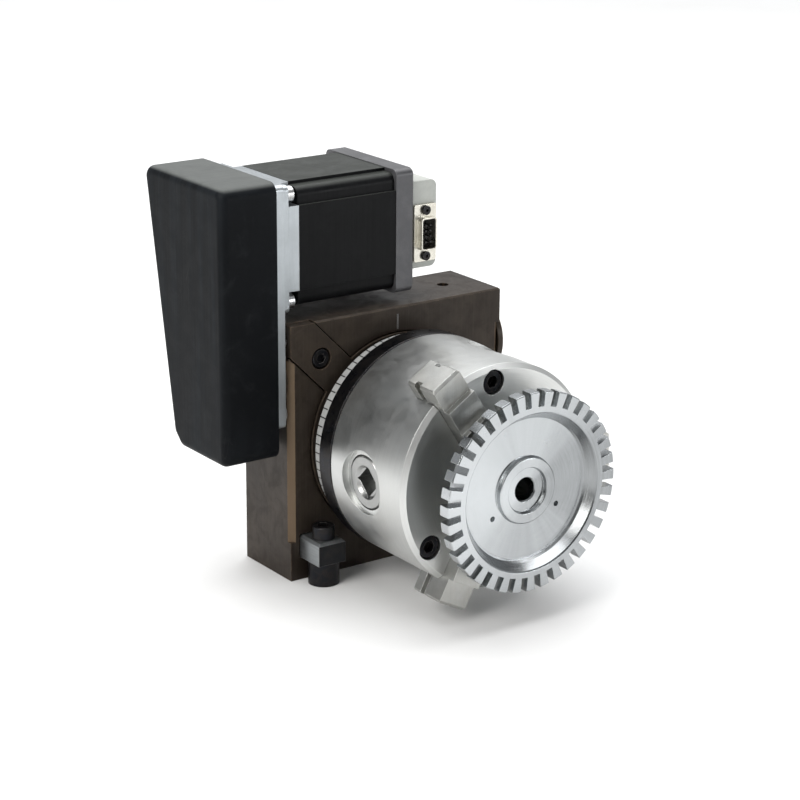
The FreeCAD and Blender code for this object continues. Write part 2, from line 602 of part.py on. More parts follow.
capl = xrev([(-59.0, 9.0), (-59.0, 17.5), (-57.0, 17.5), (-57.0, 11.95), (-50.05, 11.95), (-50.05, 9.6), (-56.0, 9.6), (-56.0, 9.0)], 0, WORM_Z)
for y, z in PLATE_SCREWS[:2]:
    capl = capl.cut(xcyl(y, z, 5.4, -60, -56))
save("worm_cap_left", capl)
capr = xrev([(50.05, 10.2), (50.05, 11.95), (57.0, 11.95), (57.0, 18.5), (59.6, 18.5), (60.6, 17.5), (60.6, 0.0), (53.0, 0.0), (53.0, 10.2)], 0, WORM_Z)
wcs, hh = [], []
for i in range(3):
    a = math.radians(90 + 120 * i)
    y, z = 14.6 * math.cos(a), WORM_Z + 14.6 * math.sin(a)
    hh += [xcyl(y, z, 1.7, 50, 65), xcyl(y, z, 3.1, 58.6, 65)]
    wcs.append(cap_screw((58.6, y, z), (1, 0, 0), 1.5, 9.0, 2.75, 2.8, 2.5))
capr = cut(capr, *hh)
save("worm_cap_right", capr)
save("worm_cap_screws", group(wcs))


def pulley(teeth, rp_, y, z, x0, x1, flange, hub_r, hub_x1, bore):
    tip = rp_ - TIP_DROP
    gw, gd = 0.95, 1.15
    pts = []
    for i in range(teeth):
        c = 2 * PI * i / teeth
        h1 = gw / tip
        h2 = gw * 0.62 / (tip - gd)
        h0 = PI / teeth
        pts += [(tip, c - h0 * 0.999), (tip, c - h1), (tip - gd, c - h2), (tip - gd, c + h2), (tip, c + h1)]
    vec = [V(x0 + 1.0, y + r * math.cos(a), z + r * math.sin(a)) for r, a in pts]
    core_ = Part.Face(Part.makePolygon(vec + [vec[0]])).extrude(V(x1 - x0 - 2.0, 0, 0))
    s = core_.fuse([xcyl(y, z, flange, x0, x0 + 1.0), xcyl(y, z, flange, x1 - 1.0, x1), xcyl(y, z, hub_r, x1 - 0.5, hub_x1)]).removeSplitter()
    return s.cut(xcyl(y, z, bore, x0 - 1, hub_x1 + 1))


PX0, PX1 = -84.0, -72.0
wp = pulley(PULLEY_T, rp1, 0, WORM_Z, PX0, PX1, 15.5, 8.6, -62.0, 6.0)
wp = wp.cut(Part.makeCylinder(1.5, 12, V(-66.5, 0, WORM_Z), V(0, 0, 1)))
save("worm_pulley", wp)
mp = pulley(MOTOR_T, rp2, MOTOR_Y, MOTOR_Z, PX0, PX1, 8.6, 7.0, -66.0, 3.175)
mp = mp.cut(Part.makeCylinder(1.5, 12, V(-69.0, MOTOR_Y, MOTOR_Z), V(0, 0, 1)))
save("motor_pulley", mp)
gs1 = Part.makeCylinder(1.5, 2.2, V(-66.5, 0, WORM_Z + 6.0), V(0, 0, 1))
save("worm_pulley_grub_screw", gs1.cut(hexagon((-66.5, 0, WORM_Z + 8.21), (0, 0, 1), 1.5, 1.2)))

# ================= belt =================


def belt_face(r1, r2, x):
    # loop round the two pulleys: circle centres in the plane x
    c1, c2 = V(x, 0, WORM_Z), V(x, MOTOR_Y, MOTOR_Z)
    d = c2 - c1
    L = d.Length
    u = V(0, MOTOR_Y / L, (MOTOR_Z - WORM_Z) / L)
    n = V(0, u.z, -u.y)
    cosb = (r1 - r2) / L
    sinb = math.sqrt(1 - cosb ** 2)
    e = {}
    for s in (1, -1):
        q = u * cosb + n * (s * sinb)
        e[s] = (c1 + q * r1, c2 + q * r2)
    arc1 = Part.Arc(e[1][0], c1 - u * r1, e[-1][0]).toShape()
    arc2 = Part.Arc(e[-1][1], c2 + u * r2, e[1][1]).toShape()
    l1 = Part.makeLine(e[-1][0], e[-1][1])
    l2 = Part.makeLine(e[1][1], e[1][0])
    return Part.Face(Part.Wire([arc1, l1, arc2, l2]))


BI, BO = 0.05, 1.15
outer = belt_face(rp1 - TIP_DROP + BO, rp2 - TIP_DROP + BO, -82.6).extrude(V(9.2, 0, 0))
inner = belt_face(rp1 - TIP_DROP + BI, rp2 - TIP_DROP + BI, -83.6).extrude(V(12, 0, 0))
save("timing_belt", outer.cut(inner))

# ================= drive plate =================
pl = prism([(PLATE_X0, PLATE_Y0, PLATE_Z0), (PLATE_X0, PLATE_Y0, PLATE_Z1), (PLATE_X0, PLATE_Y1, PLATE_Z1), (PLATE_X0, PLATE_Y1, 120.0), (PLATE_X0, PLATE_Y2, PLATE_Z0)],
           (PLATE_X1 - PLATE_X0, 0, 0))
ee = [e for e in pl.Edges if abs(e.Length - (PLATE_X1 - PLATE_X0)) < 1e-6]
pl = pl.makeFillet(2.5, ee)
MS = 47.14 / 2
MOTOR_HOLES = [(MOTOR_Y + a * MS, MOTOR_Z + b * MS) for a in (-1, 1) for b in (-1, 1)]
ph = [xcyl(0, WORM_Z, 14.0, -70, -50), xcyl(MOTOR_Y, MOTOR_Z, 19.1, -70, -50)]
for y, z in PLATE_SCREWS:
    ph += [xcyl(y, z, 2.7, -70, -50)]
for y, z in MOTOR_HOLES:
    ph.append(xcyl(y, z, 2.2, -70, -50))
pl = cut(pl, *ph)
pss, psp = [], []
for y, z in PLATE_SCREWS:
    pss.append(cap_screw((PLATE_X0, y, z), (-1, 0, 0), 2.5, 15.0, 4.25, 4.6, 4.0))
    psp.append(xcyl(y, z, 5.0, -59.0, -57.0).cut(xcyl(y, z, 2.7, -60, -56)))

# ================= belt cover =================


def cover_poly(o, x):
    return [(x, -19.6 + o, 59.0 + o), (x, -19.6 + o, 181.6 - o), (x, 46.2 - 1.2 * o, 181.6 - o), (x, 24.9 - 1.0 * o, 64.5), (x, 19.0 - 0.6 * o, 59.0 + o)]


cv = prism(cover_poly(0, COVER_X0), (PLATE_X0 - COVER_X0, 0, 0))
ee = [e for e in cv.Edges if abs(e.Length - (PLATE_X0 - COVER_X0)) < 1e-6]
cv = cv.makeFillet(5.0, ee)
ee = [e for e in cv.Edges if all(abs(v.Point.x - COVER_X0) < 1e-6 for v in e.Vertexes)]
cv = cv.makeFillet(3.6, ee)
inn = prism(cover_poly(COVER_WALL, COVER_X0 + COVER_WALL), (40, 0, 0))
ee = [e for e in inn.Edges if abs(e.Length - 40) < 1e-6]
inn = inn.makeFillet(2.6, ee)
inn = inn.cut(box(PLATE_X0 - 2.5, 0, -40, 60, 50, PLATE_Z0 - 1.5))
cv = cv.cut(inn)
# screw posts inside the cover; the low screw heads lie in counterbores of the plate, two of them under the motor
COVER_POSTS = ((37.6, 162.0), (-14.0, 162.0), (29.8, 115.5), (25.3, 92.0))
posts, ch_ = [], []
for y, z in COVER_POSTS:
    posts.append(xcyl(y, z, 3.6, COVER_X0 + 1.5, PLATE_X0))
    ch_.append(xcyl(y, z, 1.5, PLATE_X0 - 9, PLATE_X0 + 1))
cv = fuse(cv, *posts)
cv = cut(cv, *ch_)
save("belt_cover", cv)
cvs = []
ph = []
for y, z in COVER_POSTS:
    ph += [xcyl(y, z, 1.7, -70, -50), xcyl(y, z, 3.1, PLATE_X1 - 2.2, -50)]
    cvs.append(cap_screw((PLATE_X1 - 2.2, y, z), (1, 0, 0), 1.5, 9.0, 2.75, 2.0, 2.0))
pl = cut(pl, *ph)
save("drive_plate", pl)
save("drive_plate_screws", group(pss))
save("drive_plate_spacers", group(psp))
save("belt_cover_screws", group(cvs))

# ================= motor =================
A = MOTOR_A / 2


def mbox(h, x0, x1, c):
    # square of half side h with corner radius c
    b = box(x0, x1, MOTOR_Y - h, MOTOR_Y + h, MOTOR_Z - h, MOTOR_Z + h)
    e_ = [e for e in b.Edges if abs(e.Length - (x1 - x0)) < 1e-6]
    return b.makeFillet(c, e_)


X1 = MOTOR_X0 + BELL_L
X2 = X1 + STATOR_L
X3 = X2 + REAR_L
bell = mbox(A, MOTOR_X0, MOTOR_X0 + 4.8, 2.5)
bell = bell.fuse([mbox(A - 0.6, MOTOR_X0 + 4.0, X1, 3.0), xcyl(MOTOR_Y, MOTOR_Z, 19.05, MOTOR_X0 - 1.6, MOTOR_X0 + 1)]).removeSplitter()
bc_ = []
for a in (-1, 1):
    for b in (-1, 1):
        cy, cz = MOTOR_Y + a * A, MOTOR_Z + b * A
        # corner pockets behind the mounting ears
        bc_.append(box(MOTOR_X0 + 4.8, X1 + 1, min(cy, cy - a * 9.4) - (1 if a < 0 else 0), max(cy, cy - a * 9.4) + (1 if a > 0 else 0),
                       min(cz, cz - b * 9.4) - (1 if b < 0 else 0), max(cz, cz - b * 9.4) + (1 if b > 0 else 0)))
for y, z in MOTOR_HOLES:
    bc_.append(xcyl(y, z, 2.3, -70, X1))
bc_ += [xcyl(MOTOR_Y, MOTOR_Z, 4.5, -70, 0), xcyl(MOTOR_Y, MOTOR_Z, 20.0, X1 - 4, X1 + 1)]
bell = cut(bell, *bc_)
save("motor_front_bell", bell)

# stator: flat panels between stepped corners
PANEL = A - 9.4
stator = box(X1, X2, MOTOR_Y - A + 0.5, MOTOR_Y + A - 0.5, MOTOR_Z - PANEL, MOTOR_Z + PANEL)
stator = stator.fuse([box(X1, X2, MOTOR_Y - PANEL, MOTOR_Y + PANEL, MOTOR_Z - A + 0.5, MOTOR_Z + A - 0.5), mbox(A - 1.9, X1, X2, 4.0)]).removeSplitter()
sc = [xcyl(MOTOR_Y, MOTOR_Z, 19.8, X1 - 1, X2 + 1)]
stator = cut(stator, *sc)
save("motor_stator", stator)

rear = mbox(A - 0.2, X2, X3, 3.0)
rear = rear.makeChamfer(0.8, [e for e in rear.Edges if abs(e.CenterOfMass.x - X3) < 1e-6 and e.Length > 20])
rear = cut(rear, xcyl(MOTOR_Y, MOTOR_Z, 20.0, X2 - 1, X2 + 4), xcyl(MOTOR_Y, MOTOR_Z, 8.2, X2 - 1, X3 - 1.5))
rcuts, mts = [], []
for a in (-1, 1):
    for b in (-1, 1):
        y, z = MOTOR_Y + a * (A - 5.0), MOTOR_Z + b * (A - 5.0)
        rcuts += [xcyl(y, z, 3.2, X3 - 3.6, X3 + 1)]
        mts.append(cap_screw((X3 - 3.6, y, z), (1, 0, 0), 1.5, 4.5, 2.75, 2.6, 2.5))
        rcuts.append(xcyl(y, z, 1.5, X3 - 8.2, X3))
rear = cut(rear, *rcuts)
save("motor_rear_bell", rear)
save("motor_rear_screws", group(mts))

rot = xrev([(-85.0, 0.0), (-85.0, 2.9), (-84.7, 3.175), (MOTOR_X0 + 1.0, 3.175), (MOTOR_X0 + 1.0, 4.0), (X1 + 0.5, 4.0), (X1 + 0.5, 19.3), (X2 - 0.5, 19.3),
            (X2 - 0.5, 8.0), (X3 - 2.0, 8.0), (X3 - 2.0, 0.0)], MOTOR_Y, MOTOR_Z)
save("motor_rotor_shaft", rot)

msc = []
for y, z in MOTOR_HOLES:
    msc.append(cap_screw((MOTOR_X0 + 4.8, y, z), (1, 0, 0), 2.0, 8.8, 3.5, 4.0, 3.0))
save("motor_screws", group(msc))

# connector box on the tail of the motor, socket facing -Y
CB_X0, CB_X1 = X3, X3 + 13.5
CB_Y0, CB_Y1 = -12.6, 14.0
CB_Z0, CB_Z1 = 132.0, 171.5
cb = box(CB_X0, CB_X1, CB_Y0, CB_Y1, CB_Z0, CB_Z1)
cb = cb.makeFillet(3.0, [e for e in cb.Edges if abs(e.CenterOfMass.x - CB_X1) < 1e-6 and abs(e.CenterOfMass.y - CB_Y0) > 0.5] +
                   [e for e in cb.Edges if abs(e.Length - (CB_X1 - CB_X0)) < 1e-6 and e.CenterOfMass.y > 0])
CXM = (CB_X0 + CB_X1) / 2
CZM = 148.0
cb = cut(cb, box(CXM - 4.4, CXM + 4.4, CB_Y0 - 1, CB_Y0 + 10.0, CZM - 7.6, CZM + 7.6),
         ycyl(CXM, CZM + 10.4, 1.2, CB_Y0 - 1, CB_Y0 + 9), ycyl(CXM, CZM - 10.4, 1.2, CB_Y0 - 1, CB_Y0 + 9))
save("connector_box", cb)


def mouth(w, h, c, y0, y1):
    b_ = box(CXM - w, CXM + w, y0, y1, CZM - h, CZM + h)
    return b_.makeFillet(c, [e for e in b_.Edges if abs(e.Length - (y1 - y0)) < 1e-6])


shell = mouth(5.9, 13.0, 0.8, CB_Y0 - 1.4, CB_Y0).fuse(mouth(4.1, 7.4, 1.4, CB_Y0 - 4.6, CB_Y0 - 0.4)).removeSplitter()
shell = cut(shell, mouth(3.5, 6.8, 1.0, CB_Y0 - 6, CB_Y0 + 1), ycyl(CXM, CZM + 10.4, 1.35, CB_Y0 - 3, CB_Y0 + 1), ycyl(CXM, CZM - 10.4, 1.35, CB_Y0 - 3, CB_Y0 + 1))
save("connector_shell", shell)
ins = mouth(3.45, 6.75, 0.95, CB_Y0 + 0.2, CB_Y0 + 6.0)
pins = []
for kx in (-1.27, 1.27):
    for k in range(4):
        pins.append(box(CXM + kx - 0.32, CXM + kx + 0.32, CB_Y0 - 3.8, CB_Y0 + 4, CZM + (k - 1.5) * 2.54 - 0.32, CZM + (k - 1.5) * 2.54 + 0.32))
ins = fuse(ins, *pins)
save("connector_insert", ins)
js = []
for s in (-1, 1):
    js.append(cap_screw((CXM, CB_Y0 - 1.4, CZM + s * 10.4), (0, -1, 0), 1.15, 8.0, 2.1, 1.5, 1.5))
save("connector_screws", group(js))

# ================= hold-down clamps =================
for name, s in (("left", -1), ("right", 1)):
    x0, x1 = sorted((s * 38.0, s * 52.0))
    c = box(x0, x1, -34.0, -13.3, 10.5, 21.0)
    c = c.makeChamfer(1.2, [e for e in c.Edges if abs(e.CenterOfMass.z - 21.0) < 1e-6 and e.CenterOfMass.y < -20])
    c = cut(c, zcyl(s * 45.0, -27.0, 3.3, 5, 30))
    save("hold_down_clamp_%s" % name, c)
hs, sv = [], []
for s in (-1, 1):
    hs.append(cap_screw((s * 45.0, -27.0, 21.0), (0, 0, 1), 3.0, 20.4, 5.0, 6.0, 5.0))
    sv.append(zcyl(s * 45.0, -27.0, 7.0, 0.0, 10.5).cut(zcyl(s * 45.0, -27.0, 3.3, -1, 12)))
save("hold_down_screws", group(hs))
save("hold_down_sleeves", group(sv))
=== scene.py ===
import bpy
import json
import math
from mathutils import Matrix, Vector

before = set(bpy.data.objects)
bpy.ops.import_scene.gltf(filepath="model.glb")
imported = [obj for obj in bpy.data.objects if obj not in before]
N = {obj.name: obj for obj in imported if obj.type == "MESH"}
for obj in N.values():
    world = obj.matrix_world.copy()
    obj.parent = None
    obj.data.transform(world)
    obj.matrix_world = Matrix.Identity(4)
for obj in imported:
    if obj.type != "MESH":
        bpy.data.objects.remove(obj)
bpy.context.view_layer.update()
H = 60.0          # spindle axis height, mm


# ------------------------------------------------------------------ node helper
class Mat:
    """A material built from shader nodes, working in millimetres of the object's own space."""

    def __init__(self, name):
        self.m = bpy.data.materials.new(name)
        self.m.use_nodes = True
        self.t = self.m.node_tree
        self.t.nodes.clear()
        self.out = self.t.nodes.new("ShaderNodeOutputMaterial")
        self.b = self.t.nodes.new("ShaderNodeBsdfPrincipled")
        self.t.links.new(self.b.outputs[0], self.out.inputs[0])
        tc = self.t.nodes.new("ShaderNodeTexCoord")
        self.mm = self.vscale(tc.outputs["Object"], (1000.0, 1000.0, 1000.0))

    def put(self, sock, v):
        if isinstance(v, bpy.types.NodeSocket):
            self.t.links.new(v, sock)
        elif isinstance(v, (tuple, list)) and len(v) == 3 and sock.type == "RGBA":
            sock.default_value = (*v, 1.0)
        else:
            sock.default_value = v

    def set(self, name, v):
        self.put(self.b.inputs[name], v)

    def vscale(self, v, s):
        n = self.t.nodes.new("ShaderNodeVectorMath")
        n.operation = "MULTIPLY"
        self.put(n.inputs[0], v)
        n.inputs[1].default_value = s
        return n.outputs[0]

    def vop(self, op, a, b=None):
        n = self.t.nodes.new("ShaderNodeVectorMath")
        n.operation = op
        self.put(n.inputs[0], a)
        if b is not None:
            self.put(n.inputs[1], b)
        return n.outputs["Value"] if op in ("DOT_PRODUCT", "LENGTH", "DISTANCE") else n.outputs[0]

    def math(self, op, a, b=None, c=None, clamp=False):
        n = self.t.nodes.new("ShaderNodeMath")
        n.operation = op
        n.use_clamp = clamp
        self.put(n.inputs[0], a)
        if b is not None:
            self.put(n.inputs[1], b)
        if c is not None:
            self.put(n.inputs[2], c)
        return n.outputs[0]

    def sep(self, v=None):
        n = self.t.nodes.new("ShaderNodeSeparateXYZ")
        self.put(n.inputs[0], self.mm if v is None else v)
        return n.outputs[0], n.outputs[1], n.outputs[2]

    def comb(self, x, y, z):
        n = self.t.nodes.new("ShaderNodeCombineXYZ")
        for i, q in enumerate((x, y, z)):
            self.put(n.inputs[i], q)
        return n.outputs[0]

    def noise(self, v, scale, detail=3.0, rough=0.55, dist=0.0):
        n = self.t.nodes.new("ShaderNodeTexNoise")
        self.put(n.inputs["Vector"], v)
        n.inputs["Scale"].default_value = scale
        n.inputs["Detail"].default_value = detail
        n.inputs["Roughness"].default_value = rough
        n.inputs["Distortion"].default_value = dist
        return n.outputs[0]

    def voronoi(self, v, scale, feature="F1", rand=1.0):
        n = self.t.nodes.new("ShaderNodeTexVoronoi")
        n.feature = feature
        self.put(n.inputs["Vector"], v)
        n.inputs["Scale"].default_value = scale
        n.inputs["Randomness"].default_value = rand
        return n.outputs["Distance"]

    def ramp(self, f, lo, hi, a=0.0, b=1.0, smooth=True):
        n = self.t.nodes.new("ShaderNodeMapRange")
        n.interpolation_type = "SMOOTHSTEP" if smooth else "LINEAR"
        self.put(n.inputs["Value"], f)
        for k, q in (("From Min", lo), ("From Max", hi), ("To Min", a), ("To Max", b)):
            self.put(n.inputs[k], q)
        return n.outputs[0]

    def mix(self, f, a, b):
        n = self.t.nodes.new("ShaderNodeMix")
        n.data_type = "RGBA"
        self.put(n.inputs[0], f)
        self.put(n.inputs[6], a)
        self.put(n.inputs[7], b)
        return n.outputs[2]

    def lerp(self, f, a, b):
        n = self.t.nodes.new("ShaderNodeMix")
        n.data_type = "FLOAT"
        self.put(n.inputs[0], f)
        self.put(n.inputs[2], a)
        self.put(n.inputs[3], b)
        return n.outputs[0]

    def bump(self, h, strength, dist=0.0001, normal=None):
        n = self.t.nodes.new("ShaderNodeBump")
        n.inputs["Strength"].default_value = strength
        n.inputs["Distance"].default_value = dist
        self.put(n.inputs["Height"], h)
        if normal is not None:
            self.put(n.inputs["Normal"], normal)
        return n.outputs[0]

    def round(self, mm=0.35):
        """Rounded-edge normal and an edge mask, 0 on faces and 1 on edges."""
        n = self.t.nodes.new("ShaderNodeBevel")
        n.samples = 4
        n.inputs["Radius"].default_value = mm / 1000.0
        g = self.t.nodes.new("ShaderNodeNewGeometry")
        d = self.vop("DOT_PRODUCT", n.outputs[0], g.outputs["Normal"])
        return n.outputs[0], self.ramp(d, 0.995, 0.86, 0.0, 1.0)

    def around(self, x0=0.0, z0=H, axis="y"):
        """Radius, place along the axis and angle about a line along Y (centre x0, z0) or X (centre y = x0, z0)."""
        x, y, z = self.sep()
        a, along = (x, y) if axis == "y" else (y, x)
        dx, dz = self.math("SUBTRACT", a, x0), self.math("SUBTRACT", z, z0)
        r = self.math("SQRT", self.math("ADD", self.math("MULTIPLY", dx, dx), self.math("MULTIPLY", dz, dz)))
        ang = self.math("ARCTAN2", dz, dx)
        # direction round the axis, for the tangent
        ndz = self.math("MULTIPLY", dz, -1.0)
        tan = self.comb(ndz, 0.0, dx) if axis == "y" else self.comb(0.0, ndz, dx)
        n = self.t.nodes.new("ShaderNodeVectorTransform")
        n.vector_type = "VECTOR"
        n.convert_from = "OBJECT"
        n.convert_to = "WORLD"
        self.put(n.inputs[0], self.vop("NORMALIZE", tan))
        return r, along, ang, n.outputs[0]

    def rings(self, r, along, ang, fine=5.0):
        """Fine lines that run round the axis."""
        v = self.comb(self.math("MULTIPLY", r, fine), self.math("MULTIPLY", along, fine), self.math("MULTIPLY", ang, 1.3))
        return self.noise(v, 1.0, 3.0, 0.7)


def rgb(*c):
    return tuple(c)


# ------------------------------------------------------------------ materials
def turned_metal(name, base, rough, aniso, fine=5.0, stain=0.35, x0=0.0, z0=H, axis="y", rb=0.3, lines=0.22, warm=None, painted_sheen_fan=None):
    """Turned or cylindrically ground bare metal."""
    k = Mat(name)
    r, al, ang, tan = k.around(x0, z0, axis)
    nrm, edge = k.round(rb)
    ring = k.rings(r, al, ang, fine)
    coarse = k.rings(r, al, ang, fine * 0.17)
    blot = k.noise(k.mm, 0.045, 5.0, 0.6)
    smudge = k.noise(k.mm, 0.16, 4.0, 0.62, 0.6)
    dark = tuple(c * 0.80 for c in base)
    tint = warm or tuple(c * s for c, s in zip(base, (0.97, 0.93, 0.86)))
    col = k.mix(k.ramp(blot, 0.35, 0.7, 0.0, stain), base, tint)
    col = k.mix(k.ramp(ring, 0.3, 0.75, 0.0, 0.5), col, dark)
    if painted_sheen_fan:
        # painted sheen: bright and dull fans round the axis stand in for the bow-tie reflection of the turned face,
        # broken by fine radial streaks
        lo, hi, at = painted_sheen_fan
        f1 = k.math("MULTIPLY_ADD", k.math("COSINE", k.math("SUBTRACT", ang, at)), 0.5, 0.5)
        f2 = k.math("MULTIPLY_ADD", k.math("COSINE", k.math("MULTIPLY", k.math("SUBTRACT", ang, at + 0.35), 3.0)), 0.5, 0.5)
        ray = k.noise(k.comb(k.math("MULTIPLY", k.math("COSINE", ang), 5.0), k.math("MULTIPLY", k.math("SINE", ang), 5.0), 0.0), 1.0, 4.0, 0.7)
        f = k.math("ADD", k.math("MULTIPLY", f1, 0.55), k.math("ADD", k.math("MULTIPLY", f2, 0.2), k.math("MULTIPLY", ray, 0.35)))
        f = k.ramp(f, 0.2, 0.85, 0.0, 1.0)
        col = k.mix(f, tuple(c * lo for c in base), tuple(min(1.0, c * hi) for c in base))
        col = k.mix(k.ramp(ring, 0.3, 0.75, 0.0, 0.35), col, dark)
    col = k.mix(k.math("MULTIPLY", edge, 0.5), col, tuple(min(1.0, c * 1.25) for c in base))
    k.set("Base Color", col)
    k.set("Metallic", 1.0)
    ro = k.math("ADD", k.ramp(smudge, 0.3, 0.75, rough - 0.02, rough + 0.05), k.ramp(ring, 0.3, 0.7, -0.02, 0.03))
    k.set("Roughness", k.math("MAXIMUM", ro, 0.08))
    k.set("Anisotropic", aniso)
    k.set("Tangent", tan)
    h = k.math("ADD", k.math("MULTIPLY", ring, 1.0), k.math("MULTIPLY", coarse, 0.12))
    k.set("Normal", k.bump(h, lines, 0.000025, nrm))
    return k.m


def ground_flat(name, base, rough, along="z", rb=0.3, wear=0.5, grain=2.4):
    """Milled or ground block: fine lines along one axis."""
    k = Mat(name)
    nrm, edge = k.round(rb)
    s = {"x": (0.04, grain, grain), "y": (grain, 0.04, grain), "z": (grain, grain, 0.04)}[along]
    line = k.noise(k.vscale(k.mm, s), 1.0, 3.0, 0.65)
    blot = k.noise(k.mm, 0.06, 5.0, 0.62)
    smudge = k.noise(k.mm, 0.2, 4.0, 0.6, 0.8)
    scratch = k.ramp(k.voronoi(k.vscale(k.mm, (0.9, 0.05, 0.35)), 1.0, "DISTANCE_TO_EDGE"), 0.0, 0.012, 1.0, 0.0)
    scratch = k.math("MULTIPLY", scratch, k.ramp(k.noise(k.mm, 0.11, 2.0), 0.55, 0.65))
    col = k.mix(k.ramp(blot, 0.3, 0.72), base, tuple(c * s_ for c, s_ in zip(base, (0.84, 0.82, 0.79))))
    col = k.mix(k.ramp(line, 0.35, 0.75, 0.0, 0.35), col, tuple(c * 0.7 for c in base))
    col = k.mix(k.math("MULTIPLY", edge, wear), col, tuple(min(1.0, c * 1.3 + 0.05) for c in base))
    k.set("Base Color", col)
    k.set("Metallic", 1.0)
    k.set("Roughness", k.math("ADD", k.ramp(smudge, 0.3, 0.75, rough - 0.05, rough + 0.1), k.math("MULTIPLY", scratch, 0.12)))
    k.set("Normal", k.bump(k.math("SUBTRACT", line, k.math("MULTIPLY", scratch, 0.6)), 0.16, 0.00005, nrm))
    return k.m


def clamp_steel():
    """Blackened bar with bare ground ends and top."""
    # Ground steel bar coloured by face direction: bright steel on the ends and top as painted light, near-black on
    # the front, back and underside as painted shade.
    k = Mat("clamp_steel")
    nrm, edge = k.round(0.4)
    g = k.t.nodes.new("ShaderNodeTexCoord")
    nx, ny, nz = k.sep(g.outputs["Normal"])
    # painted light and shade: faces pointing along ±X or upward get bright steel, all other faces near-black
    painted_lit_faces = k.math("MAXIMUM", k.ramp(k.math("ABSOLUTE", nx), 0.5, 0.8), k.ramp(nz, 0.5, 0.8))
    line = k.noise(k.vscale(k.mm, (2.0, 0.08, 2.0)), 1.0, 3.0, 0.65)
    blot = k.noise(k.mm, 0.15, 4.0, 0.6, 0.4)
    painted_lit_faces = k.math("MULTIPLY", painted_lit_faces, k.ramp(blot, 0.2, 0.5, 0.75, 1.0))
    steel = k.mix(k.ramp(line, 0.35, 0.7, 0.0, 0.6), rgb(0.36, 0.38, 0.39), rgb(0.24, 0.25, 0.26))
    black = k.mix(k.ramp(blot, 0.35, 0.7), rgb(0.014, 0.015, 0.018), rgb(0.028, 0.027, 0.027))
    col = k.mix(painted_lit_faces, black, steel)
    col = k.mix(k.math("MULTIPLY", edge, 0.4), col, rgb(0.34, 0.34, 0.34))
    k.set("Base Color", col)
    k.set("Metallic", k.lerp(painted_lit_faces, 0.7, 0.95))
    k.set("Roughness", k.ramp(blot, 0.3, 0.7, 0.32, 0.46))
    k.set("Normal", k.bump(line, 0.14, 0.00005, nrm))
    return k.m


def brown_steel():
    """Burnished dark-brown block."""
    k = Mat("burnished_brown")
    x, y, z = k.sep()
    nrm, edge = k.round(0.5)
    line = k.noise(k.vscale(k.mm, (1.6, 1.6, 0.03)), 1.0, 3.0, 0.7)
    line2 = k.noise(k.vscale(k.mm, (5.0, 5.0, 0.25)), 1.0, 2.0, 0.6)
    cloud = k.noise(k.mm, 0.028, 6.0, 0.62, 0.4)
    patch = k.noise(k.mm, 0.11, 5.0, 0.6, 1.0)
    speck = k.ramp(k.noise(k.mm, 1.7, 2.0, 0.6), 0.60, 0.72)
    col = k.mix(k.ramp(cloud, 0.3, 0.7), rgb(0.028, 0.0215, 0.0170), rgb(0.050, 0.039, 0.030))
    col = k.mix(k.ramp(patch, 0.42, 0.68, 0.0, 0.5), col, rgb(0.021, 0.0155, 0.012))
    col = k.mix(k.ramp(line, 0.42, 0.72, 0.0, 0.22), col, rgb(0.072, 0.058, 0.046))
    col = k.mix(k.math("MULTIPLY", speck, 0.2), col, rgb(0.015, 0.011, 0.009))
    g = k.t.nodes.new("ShaderNodeTexCoord")
    nx, ny, nz = k.sep(g.outputs["Normal"])
    # painted highlight: faces turned half to the side and half to the front (the front vertical fillets) are mixed
    # towards a lighter brown
    painted_fillet_highlight = k.math("MULTIPLY", k.ramp(k.math("ABSOLUTE", nx), 0.5, 0.6), k.ramp(ny, -0.5, -0.6))
    col = k.mix(k.math("MULTIPLY", painted_fillet_highlight, 0.8), col, rgb(0.150, 0.105, 0.066))
    worn = k.math("MULTIPLY", edge, k.ramp(k.noise(k.mm, 0.35, 4.0, 0.7), 0.38, 0.62, 0.05, 0.55))
    col = k.mix(worn, col, rgb(0.23, 0.165, 0.115))
    k.set("Base Color", col)
    k.set("Metallic", k.lerp(worn, 0.15, 0.75))
    k.set("Specular IOR Level", 0.16)
    ro = k.math("ADD", k.ramp(patch, 0.3, 0.75, 0.30, 0.46), k.ramp(line2, 0.3, 0.7, -0.03, 0.05))
    k.set("Roughness", ro)
    h = k.math("ADD", k.math("MULTIPLY", line, 0.8), k.math("MULTIPLY", line2, 0.45))
    k.set("Normal", k.bump(h, 0.12, 0.00004, k.bump(k.noise(k.mm, 0.5, 3.0), 0.05, 0.0002, nrm)))
    return k.m


